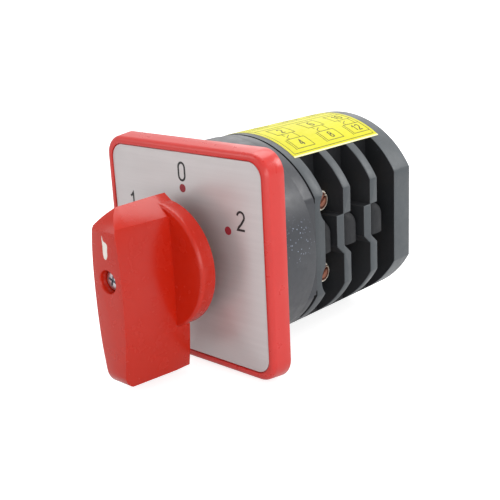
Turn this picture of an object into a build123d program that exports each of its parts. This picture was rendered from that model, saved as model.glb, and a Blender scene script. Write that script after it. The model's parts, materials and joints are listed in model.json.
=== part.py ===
from build123d import *
import math
import os

# Rotary cam transfer switch, 1-0-2, three contact decks, panel mounted.
# Frame: +Z up, the front faces -Y, origin on the spindle axis at the rear plane of the bezel.
# Millimetres. Name endings: _r radius, _t thickness, _x/_y/_z position on that axis.

os.makedirs("parts", exist_ok=True)

# ---------------------------------------------------------------- shared dimensions
# body section: a circle with two side flats; the housing is fully round behind the bezel
body_r = 30.1
body_flat = 26.4          # half width across the side flats
housing_r = 30.3
core_half = 15.5          # half width of the deck cores between the terminal recesses

# stations along the spindle axis
bezel_front_y = -6.3
legend_front_y = -6.0
legend_t = 0.5
legend_floor_y = legend_front_y + legend_t
pocket_y = -1.5           # floor of the bezel's rear pocket
cavity_y = 7.0            # floor of the detent cavity
housing_round_y = 14.6    # the round part of the housing ends here
housing_rear_y = 18.8     # full profile ends here, a smaller lip closes the seam
deck_front_y = [19.3, 32.5, 45.8]
chamber_y = [23.7, 36.0, 49.4]  # floors of the contact chambers
deck_rear_y = [*deck_front_y[1:], 58.6]
end_bore_y = 63.2         # floor of the hub bore in the end plate
end_rear_y = 67.4

# spindle fits
square = 7.0
fit_gap = 0.04
journal_r = 5.5
bush_r = 7.5
hub_r = 5.9
hub_bore_r = 6.0
end_journal_r = 3.4
end_bush_r = 5.0
end_bush_len = 3.3
bezel_screw_points = [(18.0, 0), (-18.0, 0)]

# tie screws
tie_grid = (2 * 12.0, 2 * 22.5, 2, 2)  # X pitch, Z pitch, columns, rows
tie_r = 1.5
tie_hole_r = 1.6
tie_head_r = 2.75
tie_head_y = 64.6

through = 40              # longer than any solid that a through cut crosses
wedge_r = 60              # wedges reach well past every ring they trim


# ---------------------------------------------------------------- helpers
def xz(y):
    """Plane across the spindle axis: local x is X, local y is Z, normal -Y.

    Sketches at start_y extrude to end_y with amount=start_y - end_y.
    """
    return Plane.XZ.offset(-y)


def save(name, part):
    part.label = name
    export_step(part, f"parts/{name}.step")


def sector(start_deg, end_deg):
    """Corner points of a wedge from the axis, angles clockwise from the top seen from the front."""
    count = max(2, int(abs(end_deg - start_deg) / 20) + 2)
    points = [(0.0, 0.0)]
    for i in range(count):
        angle = math.radians(start_deg + (end_deg - start_deg) * i / (count - 1))
        points.append((wedge_r * math.sin(angle), wedge_r * math.cos(angle)))
    return points


# These three draw into the sketch that is open where they are called.
def flatted_circle(radius):
    Circle(radius)
    Rectangle(2 * body_flat, 2 * body_r + 2, mode=Mode.INTERSECT)


def ring(outer_r, inner_r):
    Circle(outer_r)
    Circle(inner_r, mode=Mode.SUBTRACT)


def cross(length, width, rotation=0):
    Rectangle(length, width, rotation=rotation)
    Rectangle(width, length, rotation=rotation)


# ---------------------------------------------------------------- handle
disc_r = 18.0
disc_rear_y = -12.8
disc_front_y = -17.8
disc_edge_r = 0.9
disc_recess = (15.2, 8.6)  # outer and inner radius
disc_recess_depth = 3.0
grip_front_y = -34.9
grip_tip_z = 19.5
grip_bottom_z = -30.0
socket_depth = 14.4
screw_front_y = -33.2
screw_head_t = 1.9
screw_seat_y = screw_front_y + screw_head_t
screw_clearance_r = 1.8
counterbore_r = 3.1
pointer_floor_y = grip_front_y + 0.4
pointer_t = 0.35

# right-hand halves of the grip sections (x, z), from the tip down; the sides are splined
rear_half = [
    (0, grip_tip_z), (6.6, 14.9), (6.8, 8.0), (6.85, 0.0), (6.8, -8.0),
    (6.45, -17.0), (5.8, -25.0), (5.1, grip_bottom_z), (0, grip_bottom_z),
]
front_half = [
    (0, grip_tip_z - 0.4), (4.3, 14.7), (5.15, 8.6), (5.55, 2.4), (5.55, -7.5),
    (5.0, -17.5), (4.1, -24.0), (3.1, grip_bottom_z), (0, grip_bottom_z),
]
# side view of the grip (y, z): three-point arcs at its upper and lower front corners,
# and the corners of the rest of the outline, from the lower arc back to the upper one
upper_arc = [(-29.3, 19.6), (-32.5, 17.4), (grip_front_y, 13.8)]
lower_arc = [(grip_front_y, -25.8), (-34.2, -28.3), (-32.4, grip_bottom_z - 0.1)]
side_corners = [(disc_front_y + 2, -33), (disc_front_y + 2, 24), (-29.3, 24)]
# pointer mark (x, z), a curved drop with its tail at the top
pointer_curve = [
    (-0.62, 12.55), (-0.30, 11.30), (0.28, 10.95), (0.98, 10.55), (1.18, 9.75),
    (0.98, 8.60), (0.90, 7.35), (0.35, 6.30), (-0.40, 6.25), (-0.82, 7.10),
    (-0.86, 8.60), (-0.80, 10.00), (-0.92, 11.40), (-0.90, 12.55),
]


def grip_section(points):
    """Closed outline of a grip section from its right-hand half."""
    right = points[1:-1]
    left = [(-x, z) for x, z in right]
    with BuildSketch(Plane.XY, mode=Mode.PRIVATE) as section:
        with BuildLine():
            for flank in (right, left):
                Line(points[0], flank[0])
                Spline(*flank)
                Line(flank[-1], points[-1])
        make_face()
    return section.sketch


with BuildSketch(Plane.XY, mode=Mode.PRIVATE) as pointer_sketch:
    with BuildLine():
        Spline(*pointer_curve)
        Line(pointer_curve[-1], pointer_curve[0])
    make_face()
pointer_outline = pointer_sketch.sketch

with BuildPart() as handle:
    # tapered grip, cut to its side view
    with BuildSketch(xz(disc_front_y)):
        add(grip_section(rear_half))
    with BuildSketch(xz(grip_front_y - 0.7)):
        add(grip_section(front_half))
    loft()
    with BuildSketch(Plane.YZ):
        with BuildLine():
            Polyline(lower_arc[-1], *side_corners, upper_arc[0])
            ThreePointArc(*upper_arc)
            Line(upper_arc[-1], lower_arc[0])
            ThreePointArc(*lower_arc)
        make_face()
    extrude(amount=12, both=True, mode=Mode.INTERSECT)
    # straight root of the grip level with the disc
    with BuildSketch(xz(disc_rear_y)):
        add(grip_section(rear_half))
    extrude(amount=disc_rear_y - disc_front_y)
    # base disc
    with BuildSketch(xz(disc_rear_y)):
        Circle(disc_r)
    extrude(amount=disc_rear_y - disc_front_y)
    disc_edges = [
        edge for edge in handle.edges().filter_by(GeomType.CIRCLE)
        if abs(edge.radius - disc_r) < 0.01 and abs(edge.center().Y - disc_front_y) < 0.01
    ]
    fillet(disc_edges, disc_edge_r)
    # ring recess in the rear of the disc
    with BuildSketch(xz(disc_rear_y)):
        ring(*disc_recess)
    extrude(amount=disc_recess_depth, mode=Mode.SUBTRACT)
    # square socket, screw clearance and head counterbore
    with BuildSketch(xz(disc_rear_y)):
        Rectangle(square + fit_gap, square + fit_gap)
    extrude(amount=socket_depth, mode=Mode.SUBTRACT)
    with BuildSketch(xz(disc_rear_y)):
        Circle(screw_clearance_r)
    extrude(amount=through, mode=Mode.SUBTRACT)
    with BuildSketch(xz(screw_seat_y)):
        Circle(counterbore_r)
    extrude(amount=through, mode=Mode.SUBTRACT)
    # shallow recess for the pointer mark
    with BuildSketch(xz(pointer_floor_y)):
        add(pointer_outline)
    extrude(amount=1.0, mode=Mode.SUBTRACT)
save("handle", handle.part)

with BuildPart() as handle_mark:
    with BuildSketch(xz(pointer_floor_y)):
        add(pointer_outline)
    extrude(amount=pointer_t)
save("handle_mark", handle_mark.part)

handle_screw_head_r = 2.85
handle_screw_edge_r = 0.55
handle_screw_r = 1.7
handle_screw_len = 10.0
handle_cross = (3.0, 0.7, 20)  # length, width, rotation
handle_cross_depth = 1.1

with BuildPart() as handle_screw:
    with BuildSketch(xz(screw_seat_y)):
        Circle(handle_screw_head_r)
    extrude(amount=screw_head_t)
    fillet(handle_screw.edges().group_by(Axis.Y)[0], handle_screw_edge_r)
    with BuildSketch(xz(screw_seat_y)):
        Circle(handle_screw_r)
    extrude(amount=-handle_screw_len)
    with BuildSketch(xz(screw_front_y)):
        cross(*handle_cross)
    extrude(amount=-handle_cross_depth, mode=Mode.SUBTRACT)
save("handle_screw", handle_screw.part)

# ---------------------------------------------------------------- legend plate and bezel
bezel_side = 64.6
bezel_corner_r = 6.5
bezel_taper = 6.6
bezel_edge_r = 1.2
legend_side = 59.0
legend_corner_r = 4.5
legend_hole_r = 8.0
legend_gap = 0.1
pocket_gap = 0.2
bush_gap = 0.1
mount_pitch = 48.0
mount_hole_r = 2.15
mount_hole_depth = 4.7
bezel_screw_hole_r = 2.1
countersink_r = 4.0
countersink_depth = 1.9
countersink_taper = 45

with BuildPart() as legend_plate:
    with BuildSketch(xz(legend_floor_y)):
        RectangleRounded(legend_side, legend_side, legend_corner_r)
        Circle(legend_hole_r, mode=Mode.SUBTRACT)
    extrude(amount=legend_t)
save("legend_plate", legend_plate.part)

with BuildPart() as bezel:
    with BuildSketch(xz(0)):
        RectangleRounded(bezel_side, bezel_side, bezel_corner_r)
    extrude(amount=-bezel_front_y, taper=bezel_taper)
    fillet(bezel.faces().sort_by(Axis.Y)[0].edges(), bezel_edge_r)
    # legend recess
    recess_side = legend_side + 2 * legend_gap
    with BuildSketch(xz(bezel_front_y)):
        RectangleRounded(recess_side, recess_side, legend_corner_r + legend_gap)
    extrude(amount=bezel_front_y - legend_floor_y, mode=Mode.SUBTRACT)
    # rear pocket that takes the front of the housing
    with BuildSketch(xz(0)):
        Circle(housing_r + pocket_gap)
    extrude(amount=-pocket_y, mode=Mode.SUBTRACT)
    # hole for the spindle bush
    with BuildSketch(xz(0)):
        Circle(bush_r + bush_gap)
    extrude(amount=through, mode=Mode.SUBTRACT)
    # panel screw holes, blind from the rear
    with BuildSketch(xz(0)):
        with GridLocations(mount_pitch, mount_pitch, 2, 2):
            Circle(mount_hole_r)
    extrude(amount=mount_hole_depth, mode=Mode.SUBTRACT)
    # countersunk holes for the two housing screws
    with BuildSketch(xz(0)):
        with Locations(*bezel_screw_points):
            Circle(bezel_screw_hole_r)
    extrude(amount=through, mode=Mode.SUBTRACT)
    with BuildSketch(xz(legend_floor_y)):
        with Locations(*bezel_screw_points):
            Circle(countersink_r)
    extrude(amount=-countersink_depth, taper=countersink_taper, mode=Mode.SUBTRACT)
save("bezel", bezel.part)

bezel_screw_head_y = legend_floor_y + 0.05
bezel_screw_head_r = 3.85
bezel_screw_head_t = 1.85
bezel_shank_y = legend_floor_y + 1.6
bezel_shank_r = 2.0
bezel_shank_len = 8.4
bezel_cross = (4.0, 0.8)  # length, width
bezel_cross_depth = 1.0

with BuildPart() as bezel_screws:
    with BuildSketch(xz(bezel_screw_head_y)):
        with Locations(*bezel_screw_points):
            Circle(bezel_screw_head_r)
    extrude(amount=-bezel_screw_head_t, taper=countersink_taper)
    with BuildSketch(xz(bezel_shank_y)):
        with Locations(*bezel_screw_points):
            Circle(bezel_shank_r)
    extrude(amount=-bezel_shank_len)
    with BuildSketch(xz(bezel_screw_head_y)):
        with Locations(*bezel_screw_points):
            cross(*bezel_cross)
    extrude(amount=-bezel_cross_depth, mode=Mode.SUBTRACT)
save("bezel_screws", bezel_screws.part)

# ---------------------------------------------------------------- front housing and its bush
wheel_r = 15.0
housing_edge_r = 0.15
lip_inset = 0.8
cavity_r = wheel_r + 1.0
cavity_size = (38.8, 30.4)  # X, Z
stop_ring = (13.9, 10.6)    # outer and inner radius
stop_deg = (70, 88)         # span of a stop either way from the top-down direction
stop_height = 1.8
housing_screw_hole_r = 2.05
housing_screw_hole_depth = 6.5
housing_tie_depth = 13.5
release_deg = (118, 137)
release_y = 17.7
release_depth = 3           # radial

with BuildPart() as front_housing:
    with BuildSketch(xz(pocket_y)):
        flatted_circle(body_r)
    extrude(amount=pocket_y - housing_rear_y)
    with BuildSketch(xz(pocket_y)):
        Circle(housing_r)
    extrude(amount=pocket_y - housing_round_y)
    round_edges = [
        edge for edge in front_housing.edges().filter_by(GeomType.CIRCLE)
        if abs(edge.radius - housing_r) < 0.01 and abs(edge.center().Y - housing_round_y) < 0.01
    ]
    fillet(round_edges, housing_edge_r)
    # smaller lip that leaves a narrow groove on the round sides only
    with BuildSketch(xz(housing_rear_y)):
        flatted_circle(body_r - lip_inset)
    extrude(amount=housing_rear_y - deck_front_y[0])
    # detent cavity, open to the rear
    with BuildSketch(xz(cavity_y)):
        Circle(cavity_r)
        Rectangle(*cavity_size)
    extrude(amount=-through, mode=Mode.SUBTRACT)
    # bush hole
    with BuildSketch(xz(pocket_y)):
        Circle(bush_r + fit_gap / 2)
    extrude(amount=-through, mode=Mode.SUBTRACT)
    # rotation stops on the cavity floor, either side of the wheel's lug
    for side in (-1, 1):
        with BuildSketch(xz(cavity_y)):
            ring(*stop_ring)
            with BuildLine():
                Polyline(*sector(*[180 + side * angle for angle in stop_deg]), close=True)
            make_face(mode=Mode.INTERSECT)
        extrude(amount=-stop_height)
    # holes for the bezel screws and for the tie screws
    with BuildSketch(xz(pocket_y)):
        with Locations(*bezel_screw_points):
            Circle(housing_screw_hole_r)
    extrude(amount=-housing_screw_hole_depth, mode=Mode.SUBTRACT)
    with BuildSketch(xz(deck_front_y[0])):
        with GridLocations(*tie_grid):
            Circle(tie_r + 0.05)
    extrude(amount=housing_tie_depth, mode=Mode.SUBTRACT)
    # release slots in the rear rim
    for side in (-1, 1):
        with BuildSketch(xz(release_y)):
            ring(body_r + 1, body_r - release_depth)
            with BuildLine():
                Polyline(*sector(*[side * angle for angle in release_deg]), close=True)
            make_face(mode=Mode.INTERSECT)
        extrude(amount=-through, mode=Mode.SUBTRACT)
save("front_housing", front_housing.part)

bush_front_y = -8.0
bush_bore_r = 5.56
bush_chamfer = 0.3

with BuildPart() as front_bush:
    with BuildSketch(xz(bush_front_y)):
        ring(bush_r, bush_bore_r)
    extrude(amount=bush_front_y - cavity_y)
    chamfer(front_bush.edges().group_by(Axis.Y)[0], bush_chamfer)
save("front_bush", front_bush.part)

# ---------------------------------------------------------------- spindle and detent
spindle_front_y = -27.0
spindle_rear_y = end_bore_y - 0.6
journal_front_y = -11.5
journal_len = 19.8
end_journal_front_y = end_bore_y - 3.6
end_journal_len = 6.6
groove_y = 7.1
groove_r = 4.8
groove_width = 0.8
spindle_hole_r = 1.75
spindle_hole_depth = 9.0

with BuildPart() as spindle:
    with BuildSketch(xz(spindle_front_y)):
        Rectangle(square, square)
    extrude(amount=spindle_front_y - spindle_rear_y)
    with BuildSketch(xz(journal_front_y)):
        Circle(journal_r)
    extrude(amount=-journal_len)
    with BuildSketch(xz(end_journal_front_y)):
        Circle(end_journal_r)
    extrude(amount=-end_journal_len)
    # groove for the retaining ring
    with BuildSketch(xz(groove_y)):
        ring(journal_r + 1, groove_r)
    extrude(amount=-groove_width, mode=Mode.SUBTRACT)
    # screw hole in the front end
    with BuildSketch(xz(spindle_front_y)):
        Circle(spindle_hole_r)
    extrude(amount=-spindle_hole_depth, mode=Mode.SUBTRACT)
save("spindle", spindle.part)

retaining_r = 8.2
ring_opening_z = -6
ring_opening = (6.0, 9.0)  # X, Z

with BuildPart() as retaining_ring:
    with BuildSketch(xz(groove_y + fit_gap / 2)):
        ring(retaining_r, groove_r + 0.05)
        with Locations((0, ring_opening_z)):
            Rectangle(*ring_opening, mode=Mode.SUBTRACT)
    extrude(amount=fit_gap - groove_width)
save("retaining_ring", retaining_ring.part)

wheel_y = (9.0, 15.0)
# notch outline (radial, tangential)
wheel_notch = [(13.6, -0.62), (15.0, -2.62), (17.0, -5.0), (17.0, 5.0), (15.0, 2.62), (13.6, 0.62)]
lug_ring = (13.5, 11.0)    # outer and inner radius
lug_deg = (172, 188)
lug_height = 1.7

with BuildPart() as detent_wheel:
    with BuildSketch(xz(wheel_y[0])):
        Circle(wheel_r)
        for angle in range(0, 360, 60):
            with BuildLine(Plane.XY.rotated((0, 0, angle))):
                Polyline(*wheel_notch, close=True)
            make_face(mode=Mode.SUBTRACT)
    extrude(amount=wheel_y[0] - wheel_y[1])
    # hub to the rear
    with BuildSketch(xz(wheel_y[1])):
        Circle(hub_r)
    extrude(amount=wheel_y[1] - (chamber_y[0] - 0.1))
    # stop lug on the front face
    with BuildSketch(xz(wheel_y[0])):
        ring(*lug_ring)
        with BuildLine():
            Polyline(*sector(*lug_deg), close=True)
        make_face(mode=Mode.INTERSECT)
    extrude(amount=lug_height)
    with BuildSketch(xz(0)):
        Rectangle(square + fit_gap, square + fit_gap)
    extrude(amount=-through, mode=Mode.SUBTRACT)
save("detent_wheel", detent_wheel.part)

# inner edge of the +X leaf spring (x, z), from the top down
leaf_inner = [
    (18.75, 15.0), (16.6, 9.0), (15.4, 3.0), (13.75, 0.55),
    (13.75, -0.55), (15.4, -3.0), (16.6, -9.0), (18.75, -15.0),
]
leaf_t = 0.6
leaf_outer = [(x + leaf_t, z) for x, z in reversed(leaf_inner)]
leaf_front_y = 9.6
leaf_width = 4.8

with BuildPart() as detent_springs:
    for side in (-1, 1):
        with BuildSketch(xz(leaf_front_y)):
            with BuildLine():
                Polyline(*[(side * x, z) for x, z in leaf_inner + leaf_outer], close=True)
            make_face()
        extrude(amount=-leaf_width)
save("detent_springs", detent_springs.part)

# ---------------------------------------------------------------- contact mechanism dimensions
cam_mid_r = 9.0
cam_rise = 2.4            # lift per radian of spindle rotation
cam_linear_deg = 72.0
cam_front_gap = 0.6
cam_width = 7.9
cam_bore_r = 12.5
tip_r = 1.5
tip_z = cam_mid_r + tip_r + 0.15
slider_half = 2.5
slider_base_z = tip_z + 0.6
slider_top_z = 23.0
slider_end_gap = 0.2
spring_pocket_r = 2.0
spring_roof_z = 27.6
spring_seat_z = 19.0
spring_r = 1.5
wire_r = 0.2
spring_turns = 6
strip_width = 4.6         # Y width of the bridges and fixed contacts
bridge_half = 13.0
bridge_z = (13.0, 13.9)
contact_x = 11.6
contact_r = 1.4
bridge_contact_t = 0.83
fixed_inner_x = 10.0
fixed_z = (7.5, 8.7)
fixed_top_z = 9.6
chamber_size = (26.8, 16.8)  # X width of the bridge space, its outer Z
terminal_z = 11.0
# terminal centres, measured back from the chamber floors
terminal_y = [floor + offset for floor, offset in zip(chamber_y, (5.0, 3.7, 3.7))]
flange_x = (15.5, 16.7)
flange_side = 7.0
washer_x = 18.4
washer_side = 6.6
washer_corner_r = 0.8
washer_hole_r = 1.75      # also the hole in the contact flange
head_x = 21.4
head_r = 3.0
head_edge_r = 0.5
head_slot = (7.0, 0.9)    # length, width
head_slot_deg = 35
head_slot_depth = 1.2
terminal_screw_r = 1.7
terminal_screw_end_x = 14.1
terminal_hole_r = 1.8
terminal_hole_x = 13.9
contact_slot_x = 14.4
contact_slot_width = 3.0

# jog of the deck flanges and the barrier posts
jog_dy = 3.2
jog_top_z = 6.9
jog_low_z = -2.4
jog_run = 2.9             # height of the sloping part below the step
notch_r = 5.4
notch_depth = 2.2
post_r = 4.4
post_dy = 0.8             # post centre behind the chamber floor
post_z = 1.9              # centre of the rounded top
post_bottom_z = -3.3
post_root_x = core_half - 1.0
post_end_x = 25.8
post_dome = 2.9           # rounding of the outer end


def terminal_pair(i):
    """Upper and lower terminal centres of a deck, as (y, z)."""
    return (terminal_y[i], terminal_z), (terminal_y[i], -terminal_z)


# ---------------------------------------------------------------- contact decks
def barrier_post(axis_y, side):
    """Post with a round top, a flat bottom and a rounded outer end."""
    front, rear = axis_y - post_r, axis_y + post_r
    with BuildPart(mode=Mode.PRIVATE) as post:
        with BuildSketch(Plane.YZ.offset(side * post_root_x)):
            with BuildLine():
                Line((front, post_bottom_z), (rear, post_bottom_z))
                Line((rear, post_bottom_z), (rear, post_z))
                ThreePointArc((rear, post_z), (axis_y, post_z + post_r), (front, post_z))
                Line((front, post_z), (front, post_bottom_z))
            make_face()
        extrude(amount=side * (post_end_x - post_root_x))
        outer_edges = [
            edge for edge in post.edges()
            if abs(abs(edge.center().X) - post_end_x) < 0.01
            and edge.center().Z > post_bottom_z + 0.1
        ]
        fillet(outer_edges, post_dome)
    return post.part


def make_deck(i):
    front, floor, rear = deck_front_y[i], chamber_y[i], deck_rear_y[i]
    with BuildPart() as deck:
        if i == 0:
            with BuildSketch(xz(front)):
                flatted_circle(body_r)
            extrude(amount=front - floor)
            # notches in the flange that open towards the terminals behind it
            notch_y = floor + notch_r - notch_depth
            with BuildSketch(Plane.YZ):
                with Locations((notch_y, terminal_z), (notch_y, -terminal_z)):
                    Circle(notch_r)
            extrude(amount=through, both=True, mode=Mode.SUBTRACT)
        else:
            # side flanges, stepped forward at mid height
            with BuildSketch(Plane.YZ):
                with BuildLine():
                    Polyline(
                        (front, 32), (front, jog_top_z),
                        (front - jog_dy, jog_top_z), (front - jog_dy, jog_low_z),
                        (front, jog_low_z - jog_run), (front, -32),
                        (floor, -32), (floor, jog_low_z - jog_run - 0.3),
                        (floor - jog_dy, jog_low_z - 0.3), (floor - jog_dy, jog_top_z),
                        (floor, jog_top_z), (floor, 32),
                        close=True,
                    )
                make_face()
            extrude(amount=body_flat, both=True)
            # trim to the body section, starting ahead of the step
            with BuildSketch(xz(front - 5)):
                flatted_circle(body_r)
            extrude(amount=-15, mode=Mode.INTERSECT)
        # core between the terminal recesses
        with BuildSketch(xz(front)):
            Circle(body_r)
            Rectangle(2 * core_half, 2 * body_r + 2, mode=Mode.INTERSECT)
        extrude(amount=front - rear)
        # barrier posts between the upper and lower terminals
        for side in (-1, 1):
            add(barrier_post(floor + post_dy, side))
        # the stepped flange clears the core of the deck in front of it
        with BuildSketch(xz(front)):
            Rectangle(2 * core_half + 0.2, 2 * body_r + 4)
        extrude(amount=10, mode=Mode.SUBTRACT)
        # contact chamber, open to the rear
        width, outer_z = chamber_size
        centre_z = (fixed_z[0] + outer_z) / 2
        with BuildSketch(xz(floor)):
            Circle(cam_bore_r)
            with Locations((0, centre_z), (0, -centre_z)):
                Rectangle(width, outer_z - fixed_z[0])
            Rectangle(2 * slider_half + 0.2, 2 * spring_roof_z)
        extrude(amount=-through, mode=Mode.SUBTRACT)
        # hub bore through the flange
        with BuildSketch(xz(front)):
            Circle(hub_bore_r)
        extrude(amount=-8, mode=Mode.SUBTRACT)
        # tie screw holes
        with BuildSketch(xz(front)):
            with GridLocations(*tie_grid):
                Circle(tie_hole_r)
        extrude(amount=-through, mode=Mode.SUBTRACT)
        # slots for the fixed contacts, open to the rear, and the terminal screw holes
        for side in (-1, 1):
            for up in (-1, 1):
                with BuildSketch(xz(terminal_y[i] - strip_width / 2 - 0.05)):
                    with Locations((side * contact_slot_x, up * (fixed_z[0] + fixed_z[1]) / 2)):
                        Rectangle(contact_slot_width, fixed_z[1] - fixed_z[0] + fit_gap)
                extrude(amount=-through, mode=Mode.SUBTRACT)
                with BuildSketch(Plane.YZ.offset(side * terminal_hole_x)):
                    with Locations((terminal_y[i], up * terminal_z)):
                        Circle(terminal_hole_r)
                extrude(amount=side * 10, mode=Mode.SUBTRACT)
    return deck.part


# ---------------------------------------------------------------- cams
def cam_radius(clock_deg):
    """Cam radius at a clock angle from the top: linear lift over the throw, constant between."""
    angle, rise = (clock_deg + 180) % 360 - 180, -cam_rise
    if abs(angle) > 90:
        angle, rise = (clock_deg % 360) - 180, cam_rise
    angle = max(-cam_linear_deg, min(cam_linear_deg, angle))
    return cam_mid_r + rise * math.radians(angle)


def cam_points(start_deg, end_deg, steps):
    points = []
    for k in range(steps + 1):
        clock_deg = start_deg + (end_deg - start_deg) * k / steps
        radius, angle = cam_radius(clock_deg), math.radians(clock_deg)
        points.append((radius * math.sin(angle), radius * math.cos(angle)))
    return points


def make_cam(i):
    floor = chamber_y[i]
    front = floor + fit_gap / 2
    hub_end = chamber_y[i + 1] - 0.1 if i < 2 else end_bore_y - 0.3
    linear = cam_linear_deg
    with BuildPart() as cam:
        with BuildSketch(xz(floor + cam_front_gap)):
            with BuildLine():
                Spline(*cam_points(-linear, linear, 16))
                ThreePointArc(*cam_points(linear, 180 - linear, 2))
                Spline(*cam_points(180 - linear, 180 + linear, 16))
                ThreePointArc(*cam_points(180 + linear, 360 - linear, 2))
            make_face()
        extrude(amount=-cam_width)
        # spacing collar in front and hub to the rear
        with BuildSketch(xz(front)):
            Circle(hub_r)
        extrude(amount=front - hub_end)
        with BuildSketch(xz(floor)):
            Rectangle(square + fit_gap, square + fit_gap)
        extrude(amount=-through, mode=Mode.SUBTRACT)
    return cam.part


# ---------------------------------------------------------------- carriers, bridges and springs
# up is 1 for the upper piece and -1 for the lower one
def make_carrier(i, up):
    floor, rear = chamber_y[i], deck_rear_y[i]
    with BuildPart() as carrier:
        # body, neck and round tip that rides on the cam
        with BuildSketch(xz(floor + slider_end_gap)):
            with Locations((0, up * (slider_base_z + slider_top_z) / 2)):
                Rectangle(2 * slider_half, slider_top_z - slider_base_z)
            with Locations((0, up * (tip_z + 0.5))):
                Rectangle(2 * tip_r, 1.0)
            with Locations((0, up * tip_z)):
                Circle(tip_r)
        extrude(amount=-(rear - floor - 2 * slider_end_gap))
        # window for the bridge
        with BuildSketch(Plane.YZ):
            with Locations((terminal_y[i], up * (bridge_z[0] + bridge_z[1]) / 2)):
                Rectangle(strip_width + fit_gap, bridge_z[1] - bridge_z[0] + fit_gap)
        extrude(amount=10, both=True, mode=Mode.SUBTRACT)
        # spring pocket
        with BuildSketch(Plane.XY.offset(up * slider_top_z)):
            with Locations((0, (floor + rear) / 2)):
                Circle(spring_pocket_r)
        extrude(amount=-up * (slider_top_z - spring_seat_z), mode=Mode.SUBTRACT)
    return carrier.part


def make_bridge(i, up):
    mid = terminal_y[i]
    with BuildPart() as bridge:
        with BuildSketch(Plane.XY.offset(up * bridge_z[0])):
            with Locations((0, mid)):
                Rectangle(2 * bridge_half, strip_width)
        extrude(amount=up * (bridge_z[1] - bridge_z[0]))
        with BuildSketch(Plane.XY.offset(up * bridge_z[0])):
            with Locations((contact_x, mid), (-contact_x, mid)):
                Circle(contact_r)
        extrude(amount=-up * bridge_contact_t)
    return bridge.part


def make_spring(i, up):
    mid = (chamber_y[i] + deck_rear_y[i]) / 2
    low = spring_seat_z + wire_r + 0.02
    height = spring_roof_z - wire_r - 0.02 - low
    with BuildPart() as spring:
        with BuildLine():
            coil = Helix(
                pitch=height / spring_turns, height=height, radius=spring_r, center=(0, mid, low)
            )
        with BuildSketch(Plane(origin=coil @ 0, z_dir=coil % 0)):
            Circle(wire_r)
        sweep()
    if up > 0:
        return spring.part
    return mirror(spring.part, about=Plane.XY)


# ---------------------------------------------------------------- terminals
def make_fixed_contacts(i):
    mid = terminal_y[i]
    with BuildPart() as fixed:
        for side in (-1, 1):
            for up in (-1, 1):
                # strip, contact button and upright flange
                with BuildSketch(Plane.XY.offset(up * fixed_z[0])):
                    with Locations((side * (fixed_inner_x + flange_x[1]) / 2, mid)):
                        Rectangle(flange_x[1] - fixed_inner_x, strip_width)
                extrude(amount=up * (fixed_z[1] - fixed_z[0]))
                with BuildSketch(Plane.XY.offset(up * fixed_z[1])):
                    with Locations((side * contact_x, mid)):
                        Circle(contact_r)
                extrude(amount=up * (fixed_top_z - fixed_z[1]))
                with BuildSketch(Plane.YZ.offset(side * flange_x[0])):
                    with Locations((mid, up * terminal_z)):
                        Rectangle(flange_side, flange_side)
                        Circle(washer_hole_r, mode=Mode.SUBTRACT)
                extrude(amount=side * (flange_x[1] - flange_x[0]))
    return fixed.part


def make_clamp_washers(i):
    with BuildPart() as washers:
        for side in (-1, 1):
            with BuildSketch(Plane.YZ.offset(side * flange_x[1])):
                with Locations(*terminal_pair(i)):
                    RectangleRounded(washer_side, washer_side, washer_corner_r)
                    Circle(washer_hole_r, mode=Mode.SUBTRACT)
            extrude(amount=side * (washer_x - flange_x[1]))
    return washers.part


def make_terminal_screws(i):
    with BuildPart() as screws:
        for side in (-1, 1):
            with BuildSketch(Plane.YZ.offset(side * washer_x)):
                with Locations(*terminal_pair(i)):
                    Circle(head_r)
            extrude(amount=side * (head_x - washer_x))
            head_faces = [
                face for face in screws.faces().filter_by(Axis.X)
                if abs(face.center().X - side * head_x) < 0.01
            ]
            fillet([edge for face in head_faces for edge in face.edges()], head_edge_r)
            with BuildSketch(Plane.YZ.offset(side * head_x)):
                with Locations(*terminal_pair(i)):
                    Rectangle(*head_slot, rotation=head_slot_deg)
            extrude(amount=-side * head_slot_depth, mode=Mode.SUBTRACT)
            with BuildSketch(Plane.YZ.offset(side * washer_x)):
                with Locations(*terminal_pair(i)):
                    Circle(terminal_screw_r)
            extrude(amount=-side * (washer_x - terminal_screw_end_x))
    return screws.part


for i in range(3):
    n = i + 1
    save(f"deck_{n}", make_deck(i))
    save(f"cam_{n}", make_cam(i))
    save(f"fixed_contacts_{n}", make_fixed_contacts(i))
    save(f"clamp_washers_{n}", make_clamp_washers(i))
    save(f"terminal_screws_{n}", make_terminal_screws(i))
    for up, word in ((1, "upper"), (-1, "lower")):
        save(f"carrier_{n}_{word}", make_carrier(i, up))
        save(f"bridge_{n}_{word}", make_bridge(i, up))
        save(f"contact_spring_{n}_{word}", make_spring(i, up))

# ---------------------------------------------------------------- end plate, rear bush, tie screws
end_chamfer = 0.4
end_bush_bore_r = 3.46
tie_head_gap = 0.3
tie_head_t = 2.2
tie_head_edge_r = 0.6
tie_cross = (3.4, 0.7)    # length, width
tie_cross_depth = 1.2
tie_shank_len = 57.5

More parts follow.
